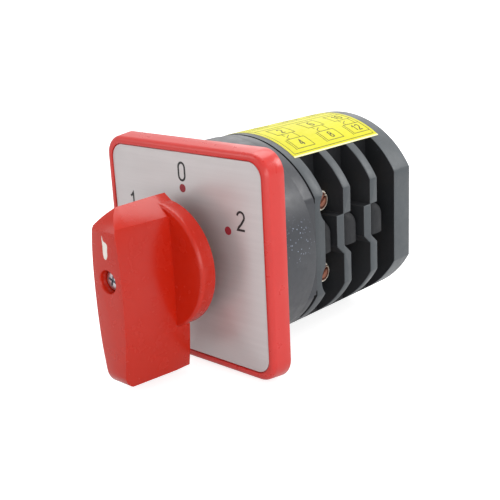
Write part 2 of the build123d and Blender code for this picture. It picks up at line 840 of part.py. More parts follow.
with BuildPart() as end_plate:
    with BuildSketch(xz(deck_rear_y[2])):
        flatted_circle(body_r)
    extrude(amount=deck_rear_y[2] - end_rear_y)
    chamfer(end_plate.faces().sort_by(Axis.Y)[-1].edges(), end_chamfer)
    # hub bore and bush seat
    with BuildSketch(xz(deck_rear_y[2])):
        Circle(hub_bore_r)
    extrude(amount=deck_rear_y[2] - end_bore_y, mode=Mode.SUBTRACT)
    with BuildSketch(xz(end_bore_y)):
        Circle(end_bush_r)
    extrude(amount=-end_bush_len, mode=Mode.SUBTRACT)
    # tie screw holes and head counterbores
    with BuildSketch(xz(deck_rear_y[2])):
        with GridLocations(*tie_grid):
            Circle(tie_hole_r)
    extrude(amount=-through, mode=Mode.SUBTRACT)
    with BuildSketch(xz(tie_head_y)):
        with GridLocations(*tie_grid):
            Circle(tie_head_r + tie_head_gap)
    extrude(amount=-through, mode=Mode.SUBTRACT)
save("end_plate", end_plate.part)

with BuildPart() as rear_bush:
    with BuildSketch(xz(end_bore_y)):
        ring(end_bush_r, end_bush_bore_r)
    extrude(amount=-end_bush_len)
save("rear_bush", rear_bush.part)

with BuildPart() as tie_screws:
    with BuildSketch(xz(tie_head_y)):
        with GridLocations(*tie_grid):
            Circle(tie_head_r)
    extrude(amount=-tie_head_t)
    fillet(tie_screws.edges().group_by(Axis.Y)[-1], tie_head_edge_r)
    with BuildSketch(xz(tie_head_y + tie_head_t)):
        with GridLocations(*tie_grid):
            cross(*tie_cross)
    extrude(amount=tie_cross_depth, mode=Mode.SUBTRACT)
    with BuildSketch(xz(tie_head_y)):
        with GridLocations(*tie_grid):
            Circle(tie_r)
    extrude(amount=tie_shank_len)
save("tie_screws", tie_screws.part)

# ---------------------------------------------------------------- wiring label over the deck tops
label_half_deg = 35.7
label_t = 0.15
label_y = (21.7, 62.7)

with BuildPart() as wiring_label:
    with BuildSketch(xz(label_y[0])):
        ring(body_r + label_t, body_r)
        with BuildLine():
            Polyline(*sector(-label_half_deg, label_half_deg), close=True)
        make_face(mode=Mode.INTERSECT)
    extrude(amount=label_y[0] - label_y[1])
save("wiring_label", wiring_label.part)
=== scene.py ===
"""Rotary switch: red handle, red square bezel, legend plate, round housing, three terminal decks,
end plate and a yellow wiring label wrapped over the top of the decks.

The spindle lies along Y. The handle is at the front (-Y), the end plate at the back (+Y),
+Z is up. Shapes are drawn in millimetres and made in metres.
"""
import json
import math

import bmesh
import bpy
from mathutils import Matrix, Vector


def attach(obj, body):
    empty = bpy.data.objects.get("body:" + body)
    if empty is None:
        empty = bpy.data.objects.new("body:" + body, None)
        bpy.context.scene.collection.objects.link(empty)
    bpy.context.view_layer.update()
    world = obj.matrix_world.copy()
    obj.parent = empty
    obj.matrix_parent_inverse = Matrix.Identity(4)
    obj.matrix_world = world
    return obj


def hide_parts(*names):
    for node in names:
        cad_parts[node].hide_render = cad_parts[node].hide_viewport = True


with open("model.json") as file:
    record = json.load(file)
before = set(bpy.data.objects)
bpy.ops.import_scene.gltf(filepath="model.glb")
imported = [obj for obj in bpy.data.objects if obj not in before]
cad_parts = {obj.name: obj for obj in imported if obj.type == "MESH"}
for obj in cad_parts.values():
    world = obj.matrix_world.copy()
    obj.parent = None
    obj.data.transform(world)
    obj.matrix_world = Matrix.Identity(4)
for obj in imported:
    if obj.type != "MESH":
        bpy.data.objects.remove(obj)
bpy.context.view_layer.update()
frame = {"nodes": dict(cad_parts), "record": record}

# ------------------------------------------------------------------ shared sizes, mm
MM = 0.001

BODY_R, BODY_FLAT = 30.1, 26.4  # radius of the body and half width over its side flats
DECK_FRONT = [19.3, 32.5, 45.8]
DECK_FLOOR = [23.7, 36.0, 49.4]  # y of the back of each deck's flange
DECK_REAR = [DECK_FRONT[1], DECK_FRONT[2], 58.6]
TERMINAL_Y = [floor_y + gap for floor_y, gap in zip(DECK_FLOOR, (5.0, 3.7, 3.7))]
TERMINAL_Z = 11.0
END_FRONT, END_BORE, END_REAR = DECK_REAR[2], 63.2, 67.4

BEZEL_FRONT, BEZEL_SEAT = -6.3, -5.5  # the legend plate lies on the seat
LEGEND_FRONT = -6.0
BEZEL_HALF = 32.3  # half width of the bezel at its back edge, y = 0
BEZEL_CENTRE, SEAT_CENTRE = 25.8, 25.0  # corner arc centres, outside and round the seat
SEAT_HALF, LEGEND_HALF = 29.6, 29.36
SIDE_HOLES = [(-18, 0.0), (18, 0.0)]


def corners(half_x, half_z):
    return [(x, z) for x in (-half_x, half_x) for z in (-half_z, half_z)]


BODY_HOLES = corners(12, 22.5)  # small holes running through the whole body


# ------------------------------------------------------------------ mesh helpers


def make(verts, faces, name="cutter"):
    mesh = bpy.data.meshes.new(name)
    mesh.from_pydata([(x * MM, y * MM, z * MM) for x, y, z in verts], [], faces)
    mesh.validate()
    obj = bpy.data.objects.new(name, mesh)
    bpy.context.scene.collection.objects.link(obj)
    bm = bmesh.new()
    bm.from_mesh(mesh)
    bmesh.ops.recalc_face_normals(bm, faces=bm.faces)
    bm.to_mesh(mesh)
    bm.free()
    return obj


def loft(loops, name="cutter", closed=False):
    """Quads between loops of equal count; end caps, or a join of last to first if closed."""
    n = len(loops[0])
    count = len(loops)
    verts = [point for loop in loops for point in loop]
    faces = []
    for k in range(count if closed else count - 1):
        a, b = k * n, ((k + 1) % count) * n
        for i in range(n):
            j = (i + 1) % n
            faces.append((a + i, a + j, b + j, b + i))
    if not closed:
        faces.append(tuple(range(n - 1, -1, -1)))
        faces.append(tuple(range((count - 1) * n, count * n)))
    return make(verts, faces, name)


def at_y(outline, y):
    """An (x, z) outline set at a place along the spindle."""
    return [(x, y, z) for x, z in outline]


def apply_mods(obj):
    graph = bpy.context.evaluated_depsgraph_get()
    mesh = bpy.data.meshes.new_from_object(
        obj.evaluated_get(graph), preserve_all_data_layers=True, depsgraph=graph)
    mesh.name = obj.name
    obj.modifiers.clear()
    obj.data = mesh


def boolean(obj, others, operation="DIFFERENCE"):
    """Applies the others one by one and removes them."""
    for other in others:
        mod = obj.modifiers.new("b", "BOOLEAN")
        mod.operation = operation
        mod.object = other
        mod.solver = "EXACT"
        apply_mods(obj)
        bpy.data.objects.remove(other)


def tidy(obj, merge=2e-6, flat=0.4):
    """Merges doubles (m) and dissolves flat regions (degrees) so that a bevel runs clean."""
    bm = bmesh.new()
    bm.from_mesh(obj.data)
    bmesh.ops.remove_doubles(bm, verts=bm.verts, dist=merge)
    bmesh.ops.dissolve_limit(
        bm, angle_limit=math.radians(flat), verts=bm.verts, edges=bm.edges)
    bm.to_mesh(obj.data)
    bm.free()


def bevel(obj, width, segments, angle):
    mod = obj.modifiers.new("bevel", "BEVEL")
    mod.width = width * MM
    mod.segments = segments
    mod.limit_method = "ANGLE"
    mod.angle_limit = math.radians(angle)
    mod.use_clamp_overlap = True
    mod.miter_outer = "MITER_ARC"
    apply_mods(obj)


def shade(obj):
    obj.data.shade_smooth()
    obj.data.set_sharp_from_angle(angle=math.radians(32.0))


def paint(obj, main, second=None, takes_second=None):
    """One material, or two: faces passing the test of centre (mm) and normal take the second."""
    obj.data.materials.clear()
    obj.data.materials.append(main)
    if second:
        obj.data.materials.append(second)
        for face in obj.data.polygons:
            face.material_index = 1 if takes_second(face.center / MM, face.normal) else 0


# Outlines are lists of (x, z), clockwise as seen from the front.


def circle(r, n=96, cx=0.0, cz=0.0):
    turns = [2 * math.pi * k / n for k in range(n)]
    return [(cx + r * math.sin(t), cz + r * math.cos(t)) for t in turns]


def double_d(r, flat, n=96):
    """A circle with two side flats; the same count whatever its size."""
    half_angle = math.asin(flat / r)
    arc_angles = [(-half_angle + 2 * half_angle * k / n) for k in range(n + 1)]
    z = r * math.cos(half_angle)
    flat_steps = 12
    points = []
    for side, base in ((1, 0.0), (-1, math.pi)):
        points += [(r * math.sin(base + a), r * math.cos(base + a)) for a in arc_angles]
        points += [(side * flat, side * (z - 2 * z * k / flat_steps))
                   for k in range(1, flat_steps)]
    return points


def rounded_square(half, centre, arc_steps=18, side_steps=10):
    """A square of given half width, its corner arcs centred at (+-centre, +-centre)."""
    r = half - centre
    arcs = []
    for cx, cz, start in ((centre, centre, 0), (centre, -centre, 90),
                          (-centre, -centre, 180), (-centre, centre, 270)):
        turns = [math.radians(start + 90 * k / arc_steps) for k in range(arc_steps + 1)]
        arcs.append([(cx + r * math.sin(t), cz + r * math.cos(t)) for t in turns])
    points = []
    for q in range(4):
        (sx, sz), (ex, ez) = arcs[q][-1], arcs[(q + 1) % 4][0]
        points += arcs[q]
        points += [(sx + (ex - sx) * k / side_steps, sz + (ez - sz) * k / side_steps)
                   for k in range(1, side_steps)]
    return points


def on_circle(outline, r):
    """The points of a circle in the directions of an outline's points."""
    return [(r * x / math.hypot(x, z), r * z / math.hypot(x, z)) for x, z in outline]


def front_round(y, r, steps):
    """(y, inset) stations of a rounded edge, from the front plane y backwards."""
    turns = [math.pi / 2 * k / steps for k in range(steps + 1)]
    return [(y + r * (1 - math.cos(t)), r * (1 - math.sin(t))) for t in turns]


def revolve_y(profile, cx=0.0, cz=0.0, n=96, name="cutter"):
    """Profile of (y, radius) turned round an axis along Y."""
    return loft([at_y(circle(r, n, cx, cz), y) for y, r in profile], name)


def cyl_y(r, y0, y1, n=64, cx=0.0, cz=0.0):
    return revolve_y([(y0, r), (y1, r)], cx, cz, n)


def cyl_x(r, x0, x1, cy, cz, n):
    return loft([[(x, cy + a, cz + b) for a, b in circle(r, n)] for x in (x0, x1)])


def box(corner, opposite):
    (a, d), (b, e), (c, f) = (sorted(pair) for pair in zip(corner, opposite))
    verts = [(a, b, c), (d, b, c), (d, e, c), (a, e, c), (a, b, f), (d, b, f), (d, e, f), (a, e, f)]
    return make(verts, [(0, 3, 2, 1), (4, 5, 6, 7), (0, 1, 5, 4),
                        (1, 2, 6, 5), (2, 3, 7, 6), (3, 0, 4, 7)])


def body_prism(name, stations):
    """The body's outline lofted through (y, inset) stations."""
    return loft([at_y(double_d(BODY_R - i, BODY_FLAT - i), y) for y, i in stations], name)


# ------------------------------------------------------------------ curves


def near_angle(angle, reference):
    """The same angle, within half a turn of the reference."""
    while angle - reference > math.pi:
        angle -= 2 * math.pi
    while angle - reference < -math.pi:
        angle += 2 * math.pi
    return angle


def arc_through(first, middle, last, n):
    """Points on the circle through three points, from the first to the last."""
    (ax, ay), (bx, by), (cx, cy) = first, middle, last
    aa, bb, cc = ax**2 + ay**2, bx**2 + by**2, cx**2 + cy**2
    d = 2 * (ax * (by - cy) + bx * (cy - ay) + cx * (ay - by))
    ux = (aa * (by - cy) + bb * (cy - ay) + cc * (ay - by)) / d
    uy = (aa * (cx - bx) + bb * (ax - cx) + cc * (bx - ax)) / d
    r = math.hypot(ax - ux, ay - uy)
    a0, a1, a2 = (math.atan2(y - uy, x - ux) for x, y in (first, middle, last))
    a2 = near_angle(a2, near_angle(a1, a0))
    turns = [a0 + (a2 - a0) * k / n for k in range(n + 1)]
    return [(ux + r * math.cos(t), uy + r * math.sin(t)) for t in turns]


def hermite(t, start, end, start_slope, end_slope):
    return ((2 * t**3 - 3 * t**2 + 1) * start + (t**3 - 2 * t**2 + t) * start_slope
            + (-2 * t**3 + 3 * t**2) * end + (t**3 - t**2) * end_slope)


def smooth_curve(points, z):
    """Smooth curve through (z, width) points, read at z."""
    pts = sorted(points)
    for k in range(len(pts) - 1):
        if pts[k][0] <= z <= pts[k + 1][0]:
            break
    (z0, w0), (z1, w1) = pts[k], pts[k + 1]
    step = z1 - z0
    slope0 = slope1 = (w1 - w0) / step
    if k > 0:
        slope0 = (w1 - pts[k - 1][1]) / (z1 - pts[k - 1][0])
    if k + 2 < len(pts):
        slope1 = (pts[k + 2][1] - w0) / (pts[k + 2][0] - z0)
    t = max(0.0, min(1.0, (z - z0) / step))
    return hermite(t, w0, w1, step * slope0, step * slope1)


def read_along(arc_points, y, outside):
    """z of a (y, z) line at y; the outside value behind its last point."""
    pts = sorted(arc_points)
    if y <= pts[0][0]:
        return pts[0][1]
    if y >= pts[-1][0]:
        return outside
    for (ya, za), (yb, zb) in zip(pts, pts[1:]):
        if ya <= y <= yb:
            return za + (zb - za) * (y - ya) / (yb - ya)
    return outside


# ------------------------------------------------------------------ handle
DISC_BACK, DISC_FRONT, DISC_R = -12.8, -17.8, 18.0
NOSE_BACK, NOSE_DEPTH = -29.3, 5.6  # where the grip starts rounding off, and how far it runs on
MARK_FLOOR = -34.5  # floor of the pointer's recess
SCREW_SEAT = -31.3

# half widths of the grip as (z, half width), at the disc and towards the nose
WIDTHS_BACK = [(14.9, 6.6), (8.0, 6.8), (0.0, 6.85), (-8.0, 6.8),
               (-17.0, 6.45), (-25.0, 5.8), (-30.0, 5.1)]
WIDTHS_FRONT = [(14.7, 4.3), (8.6, 5.15), (2.4, 5.55), (-7.5, 5.55),
                (-17.5, 5.0), (-24.0, 4.1), (-30.0, 3.1)]
BLEND_DEPTH = 17.8  # depth in front of the disc over which the widths change

# side view of the nose as (y, z)
NOSE_TOP = arc_through((NOSE_BACK, 19.6), (-32.5, 17.4), (-34.9, 13.8), 12)
NOSE_LOW = arc_through((-34.9, -25.8), (-34.2, -28.3), (-32.4, -30.0), 8)

# the pointer's curved drop, (x, z) of its spline points
MARK = [
    (-0.62, 12.55), (-0.30, 11.30), (0.28, 10.95), (0.98, 10.55), (1.18, 9.75),
    (0.98, 8.60), (0.90, 7.35), (0.35, 6.30), (-0.40, 6.25), (-0.82, 7.10),
    (-0.86, 8.60), (-0.80, 10.00), (-0.92, 11.40), (-0.90, 12.55),
]


def grip_section(y, count=26):
    """Outline across the grip at y: straight to a point at the top, curved down its sides."""
    forward = max(0.0, (DISC_FRONT - y) / BLEND_DEPTH)
    tip, shoulder = 19.5 - 0.4 * forward, 14.9 - 0.2 * forward
    top = read_along(NOSE_TOP, y, 25.0)
    low = read_along(NOSE_LOW, y, -30.0)

    def width(z):
        back = smooth_curve(WIDTHS_BACK, min(z, WIDTHS_BACK[0][0]))
        return (1 - forward) * back + forward * smooth_curve(
            WIDTHS_FRONT, min(z, WIDTHS_FRONT[0][0]))

    if top >= tip:
        start, start_width = tip, 0.0
    elif top > shoulder:
        start, start_width = top, width(shoulder) * (tip - top) / (tip - shoulder)
    else:
        start, start_width = top, width(top)
        shoulder = top
    half = [(0.0, start), (start_width, start)]
    for k in range(count + 1):
        z = shoulder + (low - shoulder) * k / count
        half.append((width(z), z))
    half.append((0.0, low))
    return at_y(half + [(-x, z) for x, z in reversed(half[1:-1])], y)


def pointer_outline(grow, per=6):
    """The drop rounded by a spline, grown outwards by a distance."""
    n = len(MARK)
    line = [MARK[0]]
    for k in range(n - 1):
        before, start, end, after = MARK[max(k - 1, 0)], MARK[k], MARK[k + 1], MARK[min(k + 2, n - 1)]
        for j in range(1, per + 1):
            line.append(tuple(
                hermite(j / per, start[c], end[c], (end[c] - before[c]) / 2, (after[c] - start[c]) / 2)
                for c in (0, 1)))
    out = []
    for k, (x, z) in enumerate(line):
        (ax, az), (bx, bz) = line[k - 1], line[(k + 1) % len(line)]
        dx, dz = bx - ax, bz - az
        d = math.hypot(dx, dz) or 1.0
        out.append((x - dz / d * grow, z + dx / d * grow))
    return out


def make_grip():
    levels = [DISC_BACK, DISC_FRONT, -20.5, -23.0, -25.5, -27.5, NOSE_BACK]
    levels += [NOSE_BACK - NOSE_DEPTH * math.sin(math.pi / 2 * k / 11) for k in range(1, 12)]
    grip = loft([grip_section(y) for y in levels], "handle_grip")
    tidy(grip, merge=5e-6, flat=0.02)
    bevel(grip, width=0.75, segments=4, angle=24)

    chamfer = 0.25
    disc = [(DISC_BACK, DISC_R - chamfer), (DISC_BACK - chamfer, DISC_R)]
    disc += [(y, DISC_R - i) for y, i in reversed(front_round(DISC_FRONT, 1.0, 6))]
    boolean(grip, [revolve_y(disc, n=144)], "UNION")

    # ring-shaped hollow in the back of the disc, round a hub
    hollow = cyl_y(15.2, -11.0, -15.8, 96)
    boolean(hollow, [cyl_y(8.6, -10.0, -16.8)])
    socket_half = 3.52
    socket = box((-socket_half, -27.2, -socket_half), (socket_half, -10.0, socket_half))
    bore = revolve_y([(-38.0, 3.6), (-35.1, 3.6), (-34.86, 3.3), (-34.5, 3.1), (SCREW_SEAT, 3.1)],
                     n=64)
    shank_hole = cyl_y(1.8, -32.0, -26.0, 32)
    mark_outline = pointer_outline(0.03)
    mark_recess = loft([at_y(mark_outline, -36.0), at_y(mark_outline, MARK_FLOOR)])
    boolean(grip, [hollow, socket, bore, shank_hole, mark_recess])
    grip.name = "handle_red"
    return grip


def make_mark():
    stations = ((MARK_FLOOR, 0.0), (-34.8, 0.0), (-34.85, -0.05))  # y, growth
    return loft([at_y(pointer_outline(grow), y) for y, grow in stations], "handle_pointer_mark")


def make_screw():
    """Domed head with a cross of two slots, and its shank."""
    head = revolve_y([(SCREW_SEAT, 2.85), (-32.5, 2.85), (-32.85, 2.72), (-33.08, 2.35),
                      (-33.18, 1.7), (-33.2, 0.6)], n=64, name="handle_screw_head")
    for angle in (20, 110):
        slot = box((-1.6, -34.6, -0.36), (1.6, -32.1, 0.36))
        slot.data.transform(Matrix.Rotation(math.radians(angle), 4, "Y"))
        boolean(head, [slot])
    boolean(head, [cyl_y(1.7, -31.5, -21.4, 32)], "UNION")
    return head


grip = make_grip()
mark = make_mark()
head = make_screw()


# ------------------------------------------------------------------ bezel and legend plate


def make_bezel():
    """One closed section: seat, raised rim, tapered sides, recessed back, centre opening."""
    taper = math.tan(math.radians(6.6))
    opening_r, recess_r, recess_y = 7.6, 30.5, -1.5
    seat = rounded_square(SEAT_HALF, SEAT_CENTRE)
    rim = [at_y(on_circle(seat, opening_r), BEZEL_SEAT)]
    # inner wall of the rim: y, half width
    for y, half in ((BEZEL_SEAT, SEAT_HALF), (-6.1, SEAT_HALF), (-6.24, 29.66), (BEZEL_FRONT, 29.82)):
        rim.append(at_y(rounded_square(half, SEAT_CENTRE), y))
    # outside: y, inset from the taper
    outside = front_round(BEZEL_FRONT, 1.3, 7) + [(-2.5, 0.0), (-0.35, 0.0), (-0.1, 0.1), (0.0, 0.35)]
    for y, inset in outside:
        rim.append(at_y(rounded_square(BEZEL_HALF + y * taper - inset, BEZEL_CENTRE), y))
    # back: radius, y
    for r, y in ((30.65, 0.0), (recess_r, -0.15), (recess_r, recess_y), (opening_r, recess_y)):
        rim.append(at_y(on_circle(seat, r), y))
    bezel = loft(rim, "bezel_red", closed=True)
    cuts = [cyl_y(2.15, -4.7, 2.0, 40, x, z) for x, z in corners(24, 24)]
    countersunk = [(-5.6, 4.1), (BEZEL_SEAT, 4.0), (-3.6, 2.1), (2.0, 2.1)]
    cuts += [revolve_y(countersunk, x, z, 40) for x, z in SIDE_HOLES]
    boolean(bezel, cuts)
    return bezel


def make_legend():
    ring = on_circle(rounded_square(LEGEND_HALF, SEAT_CENTRE), 8.0)
    loops = [at_y(ring, BEZEL_SEAT), at_y(ring, LEGEND_FRONT)]
    # half width, y
    for half, y in ((29.2, LEGEND_FRONT), (29.3, -5.97), (LEGEND_HALF, -5.88),
                    (LEGEND_HALF, BEZEL_SEAT)):
        loops.append(at_y(rounded_square(half, SEAT_CENTRE), y))
    return loft(loops, "legend_plate_silver", closed=True)


# ------------------------------------------------------------------ printed strokes


def arc(cx, cy, rx, ry, start, end, n=14):
    """Elliptical arc between two angles in degrees."""
    turns = [math.radians(start + (end - start) * k / n) for k in range(n + 1)]
    return [(cx + rx * math.cos(t), cy + ry * math.sin(t)) for t in turns]


# stroke digits in a box 0.56 wide and 1 high
DIGIT_WIDTH, DIGIT_GAP = 0.56, 0.12
DIGITS = {
    "0": [("closed", arc(0.28, 0.70, 0.25, 0.27, 0, 180) + arc(0.28, 0.30, 0.25, 0.27, 180, 360))],
    "1": [("open", [(0.10, 0.74), (0.22, 0.82), (0.32, 0.97), (0.32, 0.0)])],
    "2": [("open", arc(0.28, 0.72, 0.24, 0.25, 170, -28, 16)
           + [(0.30, 0.34), (0.12, 0.16), (0.05, 0.03), (0.54, 0.03)])],
    "3": [("open", arc(0.26, 0.74, 0.23, 0.23, 160, -80, 14)
           + arc(0.26, 0.26, 0.25, 0.25, 85, -160, 16))],
    "4": [("open", [(0.40, 0.0), (0.40, 0.97), (0.03, 0.30), (0.03, 0.25), (0.54, 0.25)])],
    "5": [("open", [(0.48, 0.97), (0.12, 0.97), (0.08, 0.55)]
           + arc(0.27, 0.32, 0.24, 0.29, 130, -160, 18))],
    "6": [("open", arc(0.40, 0.60, 0.36, 0.38, 75, 180, 8)
           + arc(0.28, 0.29, 0.24, 0.27, 180, -180, 22))],
    "7": [("open", [(0.04, 0.97), (0.52, 0.97), (0.34, 0.62), (0.24, 0.30), (0.21, 0.0)])],
    "8": [("closed", arc(0.28, 0.74, 0.20, 0.22, -90, 270, 22)),
          ("closed", arc(0.28, 0.27, 0.24, 0.25, 90, 450, 24))],
    "9": [("open", arc(0.28, 0.70, 0.24, 0.26, 0, 360, 22)
           + arc(0.16, 0.40, 0.36, 0.38, 0, -105, 8))],
}


def digits(text, cx, cz, height, aspect=1.0):
    """Strokes of a number centred on a point, height in mm."""
    w = DIGIT_WIDTH * height * aspect
    gap = DIGIT_GAP * height
    total = len(text) * w + (len(text) - 1) * gap
    out = []
    for k, char in enumerate(text):
        x0 = cx - total / 2 + k * (w + gap)
        for kind, pts in DIGITS[char]:
            out.append((kind, [(x0 + x * height * aspect, cz - height / 2 + y * height)
                               for x, y in pts]))
    return out


def dense(points, step):
    """The line with its segments divided to about one step."""
    out = [points[0]]
    for (ax, ay), (bx, by) in zip(points, points[1:]):
        n = max(1, int(math.hypot(bx - ax, by - ay) / step))
        out += [(ax + (bx - ax) * k / n, ay + (by - ay) * k / n) for k in range(1, n + 1)]
    return out


def stroke_sides(pts, closed, width):
    """(left, right) edge points of a stroke, mitred at its corners."""
    n = len(pts)
    sides = []
    for k, (x, y) in enumerate(pts):
        directions = []
        if k > 0 or closed:
            ax, ay = pts[k - 1]
            d = math.hypot(x - ax, y - ay) or 1
            directions.append(((x - ax) / d, (y - ay) / d))
        if k < n - 1 or closed:
            bx, by = pts[(k + 1) % n]
            d = math.hypot(bx - x, by - y) or 1
            directions.append(((bx - x) / d, (by - y) / d))
        tx, ty = sum(d[0] for d in directions), sum(d[1] for d in directions)
        length = math.hypot(tx, ty) or 1
        tx, ty = tx / length, ty / length
        cos = tx * directions[0][0] + ty * directions[0][1]
        w = width / 2 / max(0.5, cos)
        sides.append(((x - ty * w, y + tx * w), (x + ty * w, y - tx * w)))
    return sides


def ribbons(name, strokes, width, place, low, high, step):
    """Flat printed strokes as thin solids between two heights.

    strokes: (closed or open, points in mm); place(u, v, height) gives the point.
    """
    verts, faces = [], []
    for kind, pts in strokes:
        closed = kind == "closed"
        if closed and math.hypot(pts[0][0] - pts[-1][0], pts[0][1] - pts[-1][1]) < 1e-6:
            pts = pts[:-1]
        pts = dense(pts + [pts[0]], step)[:-1] if closed else dense(pts, step)
        n = len(pts)
        base = len(verts)
        for left, right in stroke_sides(pts, closed, width):
            verts += [place(*left, high), place(*right, high),
                      place(*right, low), place(*left, low)]
        for k in range(n if closed else n - 1):
            p, q = base + 4 * k, base + 4 * ((k + 1) % n)
            for e in range(4):
                f = (e + 1) % 4
                faces.append((p + e, p + f, q + f, q + e))
        if not closed:
            faces.append((base, base + 1, base + 2, base + 3))
            end = base + 4 * (n - 1)
            faces.append((end + 3, end + 2, end + 1, end))
    return make(verts, faces, name)


def on_plate(u, v, height):
    return (u, LEGEND_FRONT - height, v)


def make_dial_digits():
    height = 5.3
    strokes = digits("0", 0.0, 24.0, height, aspect=0.92)
    strokes += digits("2", 21.6, 13.0, height, aspect=0.98)
    strokes += digits("1", -21.6, 13.0, height)
    return ribbons("legend_digits", strokes, 0.64, on_plate, low=-0.01, high=0.02, step=0.5)


def make_dial_dots():
    ring_r = 19.3
    dots = []
    for degrees in (-60, 0, 60):
        a = math.radians(degrees)
        dots.append(revolve_y([(-5.99, 1.2), (-6.02, 1.2), (-6.03, 1.1)],
                              ring_r * math.sin(a), ring_r * math.cos(a), 32, "legend_dots"))
    boolean(dots[0], dots[1:], "UNION")
    return dots[0]


bezel = make_bezel()
legend = make_legend()
dial_print = make_dial_digits()
dots = make_dial_dots()


# ------------------------------------------------------------------ front housing


def housing_notch(side, n=14):
    """Arc-shaped cutter at the lower edge of the housing's back."""
    angles = [math.radians(118 + 19 * k / n) for k in range(n + 1)]
    outer, inner = 32, 27.1
    ring = [(side * outer * math.sin(a), outer * math.cos(a)) for a in angles]
    ring += [(side * inner * math.sin(a), inner * math.cos(a)) for a in reversed(angles)]
    return loft([at_y(ring, 17.7), at_y(ring, 21.0)])


def make_housing():
    # y, inset of the flat-sided back part; the flats hardly move in
    stations = [(2.0, 0.0), (18.45, 0.0), (18.66, 0.06), (18.76, 0.16), (18.8, 0.3)]
    loops = [at_y(double_d(BODY_R - i, BODY_FLAT - i * 0.02, 128), y) for y, i in stations]
    loops += [at_y(double_d(29.3, BODY_FLAT, 128), y) for y in (18.8, DECK_FRONT[0])]
    housing = loft(loops, "front_housing_shell")
    # y, radius of the round front part
    front = [(-1.5, 29.9), (-1.42, 30.12), (-1.2, 30.3), (14.35, 30.3),
             (14.5, 30.26), (14.58, 30.17), (14.6, 30.02)]
    boolean(housing, [revolve_y(front, n=192)], "UNION")
    cavity = cyl_y(16.0, 7.0, 21.0, 72)
    boolean(cavity, [box((-19.4, 7.0, -15.2), (19.4, 21.0, 15.2))], "UNION")
    cuts = [cavity, cyl_y(7.52, -3.0, 9.0)]
    cuts += [cyl_y(2.05, -3.0, 5.0, 32, x, z) for x, z in SIDE_HOLES]
    cuts += [cyl_y(1.55, 5.8, 21.0, 24, x, z) for x, z in BODY_HOLES]
    cuts += [housing_notch(side) for side in (-1, 1)]
    boolean(housing, cuts)
    return housing


housing = make_housing()

# ------------------------------------------------------------------ decks
CORE_HALF = 15.5  # half width of the block behind each flange
JOG_DEPTH, JOG_TOP, JOG_LOW, JOG_RUN = 3.2, 6.9, -2.4, 2.9  # forward step of the flange


def plain_flange(name, front, back):
    """The first deck's flat flange, hollowed behind its edge at the terminals' height."""
    flange = body_prism(name, [(front, 0.10), (front + 0.03, 0.03), (front + 0.1, 0.0),
                               (back - 0.35, 0.0), (back - 0.1, 0.1), (back, 0.35)])
    boolean(flange, [cyl_x(5.4, -40, 40, back + 3.2, z, 72) for z in (TERMINAL_Z, -TERMINAL_Z)])
    tidy(flange)
    return flange


def jogged_flange(name, front, back):
    """A flange whose middle band steps forward at both sides."""
    profile = [  # y, z
        (front, 32), (front, JOG_TOP), (front - JOG_DEPTH, JOG_TOP),
        (front - JOG_DEPTH, JOG_LOW), (front, JOG_LOW - JOG_RUN), (front, -32),
        (back, -32), (back, JOG_LOW - JOG_RUN - 0.3), (back - JOG_DEPTH, JOG_LOW - 0.3),
        (back - JOG_DEPTH, JOG_TOP), (back, JOG_TOP), (back, 32),
    ]
    flange = loft([[(x, y, z) for y, z in profile] for x in (-34.0, 34.0)], name)
    boolean(flange, [body_prism("cutter", [(front - 6, 0), (back + 2, 0)])], "INTERSECT")
    tidy(flange)
    bevel(flange, width=0.32, segments=3, angle=28)
    boolean(flange, [box((-15.6, front - 8, -40), (15.6, front, 40))])
    return flange


def deck_core(front, rear, n=48):
    """Upright block with its top and bottom on the body's circle."""
    half_angle = math.asin(CORE_HALF / BODY_R)
    angles = [-half_angle + 2 * half_angle * k / n for k in range(n + 1)]
    outline = [(BODY_R * math.sin(a), BODY_R * math.cos(a)) for a in angles]
    outline += [(-x, -z) for x, z in outline]
    return loft([at_y(outline, front), at_y(outline, rear)])


def deck_post(side, floor_y, steps=12):
    """Post between two terminals: round top, flat bottom, domed outer end."""
    cy, cz, r, bottom, dome = floor_y + 0.8, 1.9, 4.4, -3.1 - 0.2, 3.1
    turns = [math.pi / 2 * k / steps for k in range(steps + 1)]
    reach = [(14.5, 1.0)]  # x, share of the full width
    reach += [(22.6 + dome * math.sin(t), 1 - 0.70 * (1 - math.cos(t))) for t in turns]
    reach += [(25.76, 0.16), (25.8, 0.04)]
    loops = []
    for x, share in reach:
        w = r * share
        section = []
        for k in range(33):
            t = math.pi * k / 32
            section.append((cy + w * math.cos(t), cz + w * math.sin(t)))
        section += [(cy - w, cz + (bottom - cz) * k / 8) for k in range(1, 9)]
        section += [(cy - w + 2 * w * k / 12, bottom) for k in range(1, 12)]
        section += [(cy + w, cz + (bottom - cz) * k / 8) for k in range(8, 0, -1)]
        loops.append([(side * x, y, z) for y, z in section])
    return loft(loops)


def deck_chamber(floor_y, rear):
    """Round chamber with a wide pocket above and below and a narrow upright slot."""
    chamber = cyl_y(12.5, floor_y, rear + 3, 96)
    boolean(chamber, [
        box((-13.4, floor_y, 7.5), (13.4, rear + 3.1, 16.8)),
        box((-13.4, floor_y, -16.8), (13.4, rear + 3.1, -7.5)),
        box((-2.6, floor_y, -27.6), (2.6, rear + 3.2, 27.6)),
    ], "UNION")
    return chamber


